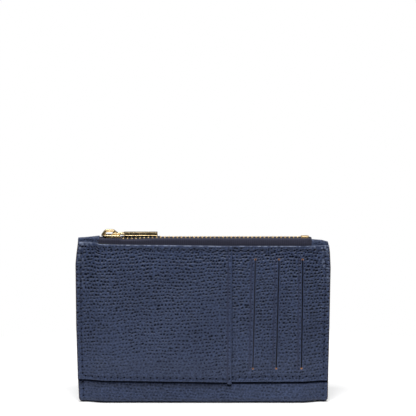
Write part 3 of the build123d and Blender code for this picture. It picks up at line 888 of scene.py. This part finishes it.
def shell(half, side_name):
    """Half of the folded leather shell: the wall and its half of the bottom, up to the middle."""
    lowest = -(math.pi / 2 * FOLD_RADIUS + SHELL + COIN_DEPTH - FOLD_RADIUS)
    top = SHELL_TOP - FOLD_RADIUS
    hidden_from = PANEL_BOTTOM + 2.0
    radius = SHELL_EDGE_RADIUS
    us = merged(spaced(-HALF_WIDTH, HALF_WIDTH, SHELL_STEP), edge_steps(-HALF_WIDTH, HALF_WIDTH, radius))
    rows = [spaced(lowest, top, SHELL_STEP)]
    if half < 0:
        rows = [spaced(lowest, hidden_from, GRAIN_STEP), spaced(hidden_from, top, HIDDEN_STEP)]
    u, v = np.meshgrid(us, merged(*rows, top - radius * NEAR_EDGE, top))
    height, pit = grained(u * half, v, 12 if half < 0 else 20, ramp(top - v, 0.5, 1.5))
    fold = hill(v, 0.2, 0.35)
    height += 0.05 * fold - rolled(HALF_WIDTH - abs(u), radius) - rolled(top - v, radius)
    height, pit, dark = sewn(u, v + FOLD_RADIUS, height, pit, shell_seams(half))
    if half < 0:
        hem_shadow_band = hem_shadow(u, v + FOLD_RADIUS)
        height -= 0.35 * hem_shadow_band
        # painted shadow under the panels' hem, carried in the pit attribute
        dark = np.maximum(dark, hem_shadow_band)
    drawn = shell_points(u, v, half, SHELL)
    points = settle(drawn)
    points[..., 0] -= np.sign(u) * 0.6 * rolled(drawn[..., 2], 2.2) * ramp(abs(u), HALF_WIDTH - 8, HALF_WIDTH)
    piece = slab(
        f"shell_{side_name}_leather", points, height, SHELL_THICKNESS, (NAVY, EDGE, FLESH), mirrored=half > 0,
        attributes=marks(pit, dark, 0.15 * fold, rubbed(u), glints(pit, v)),
    )
    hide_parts("outer_shell")
    follow_mouth(piece)


def plain_layer(name, node, slot, material, half, distance, thickness, pocket_share=0.0, lift=0.0):
    """A hidden layer between the leathers, such as a lining, a liner or a board."""
    low, high = box_mm(node)
    u, v = np.meshgrid(spaced(low[0], high[0], 2.0), spaced(low[2] + lift, high[2], 2.0))
    depth = distance + COIN_DEPTH * share(u) + pocket_share * pocket(u, v)
    points = settle(np.stack([u, SEAM_Y + half * depth, v], axis=-1))
    height = 0.02 * noise(u, v, 5, 3)
    piece = slab(name, points, height, thickness, (material,) * 3, coarse=1, mirrored=half > 0)
    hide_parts(node)
    follow_mouth(piece)


def hidden_layers():
    """The coin lining's two walls, the stiffening boards and the card pocket liners."""
    for half, side_name in ((-1, "front"), (1, "back")):
        lining = ("coin_lining", "lining_cloth", LINING_CLOTH)
        plain_layer(f"coin_lining_{side_name}", *lining, half, LINING, LINING_THICKNESS, lift=0.3)
        board = (f"{side_name}_stiffener", "stiffening_board", BOARD)
        plain_layer(f"{side_name}_board", *board, half, BOARD_FACE, BOARD_THICKNESS)
    for step, depth_name in enumerate(("inner", "middle", "outer")):
        liner = (f"card_pocket_liner_{depth_name}", "pocket_cloth", POCKET_CLOTH)
        distance = POCKET_LINER - 0.08 * step
        plain_layer(f"pocket_liner_{depth_name}", *liner, -1, distance, LINER_THICKNESS, 0.96 - 0.28 * step)


def folded_over(part, distance, inner, bottom, top, radius, bend):
    """A sheet that runs up a wall, round a bend and inward to an inner distance.

    part is how much of the way is done. Returns how far out and how high it is, and the way in millimetres.
    """
    wall = top - radius - bottom
    quarter = math.pi / 2 * bend
    way = part * (wall + quarter + distance - bend - inner)
    turned = np.clip((way - wall) / quarter, 0, 1) * math.pi / 2
    out = distance - bend * (1 - np.cos(turned)) - np.clip(way - wall - quarter, 0, None)
    return out, np.where(way < wall, bottom + way, top - radius + radius * np.sin(turned)), way


def end_tab(end, tab_name):
    """A leather tab folded over one end of the zipper."""
    low, high = box_mm("zip_end_tab_right")
    x_low, x_high = (low[0], high[0]) if end > 0 else (-high[0], -53.4)
    us = merged(spaced(x_low, x_high, 0.3), edge_steps(x_low, x_high, HEM_RADIUS))
    u, v = np.meshgrid(us, spaced(-1, 1, 0.012))
    distance = 0.88 + COIN_DEPTH * share(u)
    bend = np.minimum(TAB_RADIUS, 0.8 * distance)
    out, z, way = folded_over(1 - abs(v), distance, 0, low[2], high[2], TAB_RADIUS, bend)
    points = settle(np.stack([u, SEAM_Y + np.sign(v) * out, z], axis=-1), tab=True)
    height, pit = grained(u * 1.1, way, 30 + end, 0.9)
    height = 0.7 * height - rolled(u - x_low, HEM_RADIUS) - rolled(x_high - u, HEM_RADIUS)
    piece = slab(
        f"zip_tab_{tab_name}", points, height, TAB_THICKNESS, (TAB_LEATHER, EDGE, FLESH), coarse=4,
        attributes=marks(pit, painted_highlight=glints(pit, way)),
    )
    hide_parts(f"zip_end_tab_{tab_name}")
    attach(piece, "pouch")


# ---- thread ----
def stitches(row, across, distance, half=-1, upright=False):
    """Lockstitches along a seam through the layer at a distance: level at a height, or upright at a side."""
    on_panel = distance > SHELL
    steps = np.linspace(0, 1, 15)
    arch = np.sin(math.pi * steps)
    angle = np.linspace(0, 2 * math.pi, 10, endpoint=False)
    twist = 2 * math.pi * steps[:, None] * 2.4
    size = 0.24 * (0.9 + 0.13 * np.cos(2 * (angle - twist))) * (0.55 + 0.45 * arch**0.4)[:, None]
    section = np.stack([size * np.cos(angle), size * np.sin(angle)], axis=-1)
    solids = []
    line = seam_line(*row)
    for start, end in zip(line[:-1], line[1:]):
        along = start + (end - start) * (0.19 + 0.62 * steps)
        fixed = np.full_like(along, across)
        x, z = (fixed, along) if upright else (along, fixed)
        depth = distance + COIN_DEPTH * share(x) + on_panel * pocket(x, z)
        path = settle(np.stack([x, SEAM_Y + half * depth, z], axis=-1), on_panel)
        path[:, 1] += half * (0.44 * arch**0.55 - 0.32)
        solids.append(tube(path, (0, half, 0), section))
    return solids


def thread_piece(name, node, solids, half=None):
    """Joins stitches into one piece, which rides on the pouch when no half is given."""
    piece = new_object(name, *joined(*solids), [THREAD], sharp_angle=1.3)
    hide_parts(node)
    if half is None:
        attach(piece, "pouch")
    else:
        follow_mouth(piece)


def threads():
    """Every seam that shows."""
    hem = stitches(COVER_ROW, COVER_HEM_SEAM, COVER) + stitches(SLOT_ROW, SLOT_HEM_SEAM, SLOT_PANEL)
    thread_piece("hem_stitching", "thread_panel_hem", hem, -1)
    mouth = stitches(COVER_ROW, MOUTH_SEAM, COVER) + stitches(SLOT_ROW, MOUTH_SEAM, SLOT_PANEL)
    thread_piece("mouth_stitching_front", "thread_mouth_front", mouth, -1)
    thread_piece("mouth_stitching_back", "thread_mouth_back", stitches(MOUTH_ROW, MOUTH_SEAM, SHELL, 1), 1)
    for end, side_name, panel in ((-1, "left", COVER), (1, "right", SLOT_PANEL)):
        rows = ((SIDE_ROW, panel, -1), (STRIP_ROW, SHELL, -1), (BACK_ROW, SHELL, 1))
        side = [stitches(row, end * SIDE_SEAM, distance, half, True) for row, distance, half in rows]
        thread_piece(f"side_stitching_{side_name}", f"thread_side_{side_name}", sum(side, []))


# ---- zipper ----
def chain_lift(x, half):
    """How far a side of the chain stands above its drawn height: the front one sags beside the slider."""
    if half < 0:
        return -0.6 * ramp(x, -22, -38) * ramp(x, -43.5, -41.5)
    return 0.38 * ramp(x, -20, -24) * ramp(x, -43.5, -41.5)


def chain_cloth(piece, side_name):
    """A part of a zipper tape, standing in for its half's CAD tape."""
    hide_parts(f"zip_tape_{side_name}")
    follow_mouth(piece)


def tape(half, side_name):
    """One woven tape, turned inward at the mouth."""
    length, top = tape_high[0], CHAIN_Z + 0.2
    inner, bend = 1.35, 0.95
    u, v = np.meshgrid(spaced(-length, length + 0.6, 0.3), spaced(0, 1, 0.022))
    outer = TAPE + COIN_DEPTH * share(u) - 0.05
    out, z, _ = folded_over(v, outer, inner, tape_low[2], top, bend, bend)
    points = np.stack([u, SEAM_Y + half * out, z], axis=-1)
    points[..., 2] += (0.06 * noise(u, v, 7, 4) + chain_lift(u, half)) * ramp(z, SHELL_TOP, top)
    points[..., 1] += half * (0.10 * noise(u, v, 9, 2) + 0.05) * ramp(z, SHELL_TOP - 2, SHELL_TOP + 1)
    ribs = np.cos(4 * math.pi * u / TOOTH_PITCH) * ramp(z, CHAIN_Z - 1.3, CHAIN_Z - 0.4)
    height = 0.012 * ribs + 0.01 * noise(u, z, 0.8, 5)
    name = f"zip_tape_{side_name}_woven"
    woven = slab(name, points, height, TAPE_THICKNESS, (TAPE_CLOTH,) * 3, coarse=6, mirrored=half > 0)
    chain_cloth(woven, side_name)


def cord(half, side_name):
    """The cord along a tape's edge, which the teeth clamp."""
    x = spaced(-tape_high[0], tape_high[0], TOOTH_PITCH / 8)
    z = CHAIN_Z + (0.24 if half < 0 else 0.0) + chain_lift(x, half)
    path = np.stack([x, np.full_like(x, SEAM_Y + half * 1.55), z], axis=-1)
    lay = 0.50 + 0.07 * np.cos(2 * math.pi * (x - x[0]) / TOOTH_PITCH)
    solid = tube(path, (0, 0, 1), ring_section(1.0) * lay[:, None, None])
    chain_cloth(new_object(f"zip_tape_{side_name}_cord", *solid, [TAPE_CLOTH]), side_name)


def tooth(half):
    """One tooth: jaws round the tape's cord, and a narrower nose that meshes with the other row."""
    corners = [(-0.47, 2.35), (-0.47, 0.55), (-0.34, -0.42), (0.34, -0.42), (0.47, 0.55), (0.47, 2.35)]
    outline = rounded(corners, [0.4, 0.5, 0.2, 0.2, 0.5, 0.4], 6)
    if half < 0:
        outline = outline * (1, -1)
        outline = outline[::-1]
    top = CHAIN_Z + (0.95 if half < 0 else 0.6)
    return prism(outline, CHAIN_Z - 0.95, top, 0.33)


def teeth(half, side_name):
    """A row of teeth."""
    low, high = box_mm(f"zip_teeth_{side_name}")
    half_tooth = 0.475
    count = int(round((high[0] - low[0] - 2 * half_tooth) / TOOTH_PITCH)) + 1
    xs = low[0] + half_tooth + TOOTH_PITCH * np.arange(count)
    places, faces = tooth(half)
    solids = [(places + (x, SEAM_Y, -abs(chain_lift(x, half))), faces) for x in xs]
    piece = new_object(f"zip_teeth_{side_name}_row", *joined(*solids), [TOOTH_GOLD], sharp_angle=0.8)
    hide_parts(f"zip_teeth_{side_name}")
    follow_mouth(piece)


def metal(name, node, body, *solids, sharp_angle=0.8, material=GOLD):
    """A piece of plated metal that stands for a CAD node."""
    piece = new_object(name, *joined(*solids), [material], sharp_angle=sharp_angle)
    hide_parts(node)
    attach(piece, body)


def block(low, high, corner, bevel):
    """A rounded block between two corners."""
    outline = [(low[0], low[1]), (high[0], low[1]), (high[0], high[1]), (low[0], high[1])]
    return prism(rounded(outline, corner, 5), low[2], high[2], bevel)


def stops():
    """The stops at both ends of the chain."""
    bottom_stop = block(*box_mm("zip_bottom_stop"), 0.6, 0.2)
    metal("bottom_stop", "zip_bottom_stop", "pouch", bottom_stop, material=TOOTH_GOLD)
    for side_name in ("front", "back"):
        low, high = box_mm(f"zip_top_stop_{side_name}")
        stop = block(low - (0.9, 0, 0), high - (0.9, 0, 0.5), 0.25, 0.3)
        metal(f"top_stop_{side_name}", f"zip_top_stop_{side_name}", "pouch", stop)


def wing_outline(half_width):
    """A slider wing seen from above, its round shoulders at the front on the left."""
    front, rear = slider_low[0], slider_high[0]
    xs = (front, front + 1.5, front + 3.2, rear)
    side = list(zip(xs, (0.5, half_width - 0.25, half_width, half_width - 0.15)))
    corners = [(x, SEAM_Y - y) for x, y in side] + [(x, SEAM_Y + y) for x, y in side[::-1]]
    return rounded(corners, [0.5, 1.0, 1.0, 0.7, 0.7, 1.0, 1.0, 0.5])


def slider_wings():
    """The slider's two wings, their flanges and the diamond between them."""
    wing, inner = 0.7, 2.46
    front, rear = slider_low[0], slider_high[0]
    half_width = slider_high[1] - SEAM_Y
    upper = slider_high[2] - wing
    lower = slider_low[2] + wing
    solids = [
        prism(wing_outline(half_width), upper, slider_high[2], 0.28),
        prism(wing_outline(half_width - 0.3), slider_low[2], lower, 0.25),
    ]
    for side in (-1, 1):
        for reach, low, high in ((3.06, CHAIN_Z + 0.4, upper + 0.3), (2.76, lower - 0.3, CHAIN_Z - 0.4)):
            ys = sorted((SEAM_Y + side * inner, SEAM_Y + side * reach))
            solids.append(block((front + 3.4, ys[0], low), (rear - 0.15, ys[1], high), 0.12, 0.12))
    corners = [(front + x, SEAM_Y + y) for x, y in ((0.5, 0), (1.1, -0.5), (1.6, 0), (1.1, 0.5))]
    solids.append(prism(rounded(corners, 0.12, 4), lower - 0.2, upper + 0.2, 0.05))
    metal("slider_wings", "zip_slider_body", "slider", *solids)


def slider_bridge():
    """The arch on the slider that the pull hangs in, thicker towards the front."""
    low, high = box_mm("zip_slider_bridge")
    foot, crown = slider_high[2] - 0.25, high[2] - 0.56
    front, back = low[0] + 0.55, high[0] - 0.45
    rise = [(front, foot), (front + 1.6, crown)]
    fall = [(back - 2.2, crown), (back - 0.35, crown - 1.4), (back, foot)]
    arc = rounded(rise + fall, [0, 1.3, 1.2, 0.9, 0], 9)
    path = np.column_stack([arc[:, 0], np.full(len(arc), SEAM_Y), arc[:, 1]])
    thick = np.interp(np.linspace(0, 1, len(path)), [0, 0.15, 0.5, 0.85, 1], [1.25, 1.1, 1.0, 0.85, 0.9])
    section = flat_section(0.64, 1.2, 0.45, 5) * np.stack([thick, np.ones_like(thick)], axis=-1)[:, None]
    metal("slider_bridge", "zip_slider_bridge", "slider", tube(path, (0, 1, 0), section))


def flat_section(half_thickness, half_width, radius, steps):
    """A rounded rectangle, centred."""
    x, y = half_thickness, half_width
    return rounded([(-x, -y), (x, -y), (x, y), (-x, y)], radius, steps)


def pull_arm(side, pin_x, pin_z):
    """One arm of the pull's fork, from the pin to the bar."""
    along = np.linspace(0, 1, 14)
    y = SEAM_Y + side * (1.78 - 0.35 * along)
    path = np.column_stack([pin_x - 0.35 + along * 6.3, y, pin_z - 0.15 * along**2])
    grow = np.stack([1 + 0.75 * ramp(along, 0.25, 1.0), 1 + 0.35 * ramp(along, 0.4, 1.0)], axis=-1)
    return tube(path, (0, 1, 0), flat_section(0.34, 0.32, 0.2, 4) * grow[:, None])


def pull():
    """The pull: a flat bar on a forked neck, whose pin hangs in the bridge."""
    hinge = next(joint for joint in frame["joints"] if joint["name"] == "pull_swing")["pos_m"]
    pin_x, pin_z = hinge[0] / MM, hinge[2] / MM
    bar_start, inset, rim_height, pin_reach = -41.0, 0.16, 0.24, 2.05
    bar_low = np.array([bar_start, pull_low[1], pull_low[2]])
    step = np.array([inset, inset, 0])
    face = block(bar_low + step, pull_high - step, 0.6, 0.06)
    rim = block(bar_low, (pull_high[0], pull_high[1], bar_low[2] + rim_height), 0.7, 0.11)
    arms = [pull_arm(side, pin_x, pin_z) for side in (-1, 1)]
    web_low = (bar_start - 0.7, SEAM_Y - 1.85, pin_z - 0.62)
    web = block(web_low, (bar_start + 0.4, SEAM_Y + 1.85, pin_z + 0.5), 0.25, 0.25)
    across = np.linspace(SEAM_Y - pin_reach, SEAM_Y + pin_reach, 8)
    pin_path = np.column_stack([np.full(8, pin_x), across, np.full(8, pin_z)])
    pin = tube(pin_path, (0, 0, 1), ring_section(0.35, 14))
    metal("pull_bar", "zip_pull", "pull", face, rim, *arms, web, pin, sharp_angle=0.7)


# ---- make every piece ----
shell(-1, "front")
shell(1, "back")
slot_panel()
cover_panel()
hidden_layers()
end_tab(-1, "left")
end_tab(1, "right")
threads()
for half, side_name in ((-1, "front"), (1, "back")):
    tape(half, side_name)
    cord(half, side_name)
    teeth(half, side_name)
stops()
slider_wings()
slider_bridge()
pull()


# ---- floor, light and camera ----
def floor():
    """A plain white floor."""
    bpy.ops.mesh.primitive_circle_add(vertices=96, radius=0.22, fill_type="NGON", location=(0, 0, -0.0002))
    ground = bpy.context.object
    ground.name = "floor"
    shader = Shader("floor_white", Specular_IOR_Level=0.1, Roughness=0.9)
    tone = shader.colours(shader.noise(6, 2), (0.3, (0.96, 0.96, 0.96, 1)), (0.7, (0.98, 0.98, 0.98, 1)))
    shader.set(Base_Color=tone)
    ground.data.materials.append(shader.material)


def lamp(name, place, aim, width, depth, power):
    """A soft rectangular light."""
    light = bpy.data.lights.new(name, "AREA")
    light.shape, light.size, light.size_y, light.energy = "RECTANGLE", width, depth, power
    holder = bpy.data.objects.new(name, light)
    holder.location = place
    holder.rotation_euler = (Vector(aim) - Vector(place)).to_track_quat("-Z", "Y").to_euler()
    bpy.context.scene.collection.objects.link(holder)


def surroundings():
    """A white studio, bright above and behind and dark low down, with a plain white backdrop."""
    world = bpy.data.worlds.new("studio")
    bpy.context.scene.world = world
    world.use_nodes = True
    graph = Graph(world.node_tree)
    graph.nodes.clear()
    direction = graph.add("TexCoord", "Generated")

    def spread(axis, from_low, from_high, low, high):
        """How strongly light comes from along an axis."""
        place = graph.add("SeparateXYZ", axis, Vector=direction)
        smooth = [("interpolation_type", "SMOOTHSTEP")]
        ends = {"From_Min": from_low, "From_Max": from_high, "To_Min": low, "To_Max": high}
        return graph.add("MapRange", "Result", smooth, Value=place, **ends)

    strength = graph.math("MULTIPLY", spread("Z", 0.08, 0.75, 0.0, 1.0), spread("Y", -0.6, 0.5, 0.15, 1.0))
    studio = graph.add("Background", Color=(1, 1, 1, 1), Strength=strength)
    white = graph.add("Background", Color=(1, 1, 1, 1))
    choose = graph.nodes.new("ShaderNodeMixShader")
    for socket, value in zip(choose.inputs, (graph.add("LightPath", "Is Camera Ray"), studio, white)):
        graph.fill(socket, value)
    graph.fill(graph.nodes.new("ShaderNodeOutputWorld").inputs["Surface"], choose.outputs[0])


def camera():
    """A long lens a little above the object, which stands low in the frame."""
    elevation, distance, aim_above = math.radians(10.0), 1.2, math.radians(2.78)
    view = bpy.data.cameras.new("camera")
    view.sensor_width, view.lens = 36.0, 201.9
    view.clip_start, view.clip_end = 0.05, 20
    holder = bpy.data.objects.new("camera", view)
    target = Vector((0.0022, 0, 0.042))
    holder.location = target + distance * Vector((0, -math.cos(elevation), math.sin(elevation)))
    pitch = elevation - aim_above
    holder.rotation_euler = (math.pi / 2 - pitch, 0, 0)
    bpy.context.scene.collection.objects.link(holder)
    bpy.context.scene.camera = holder


floor()
lamp("key", (-0.03, -0.48, 0.92), (0, 0, 0.04), 0.7, 0.34, 12.4)
surroundings()
camera()
bpy.context.scene.view_settings.view_transform = "Standard"
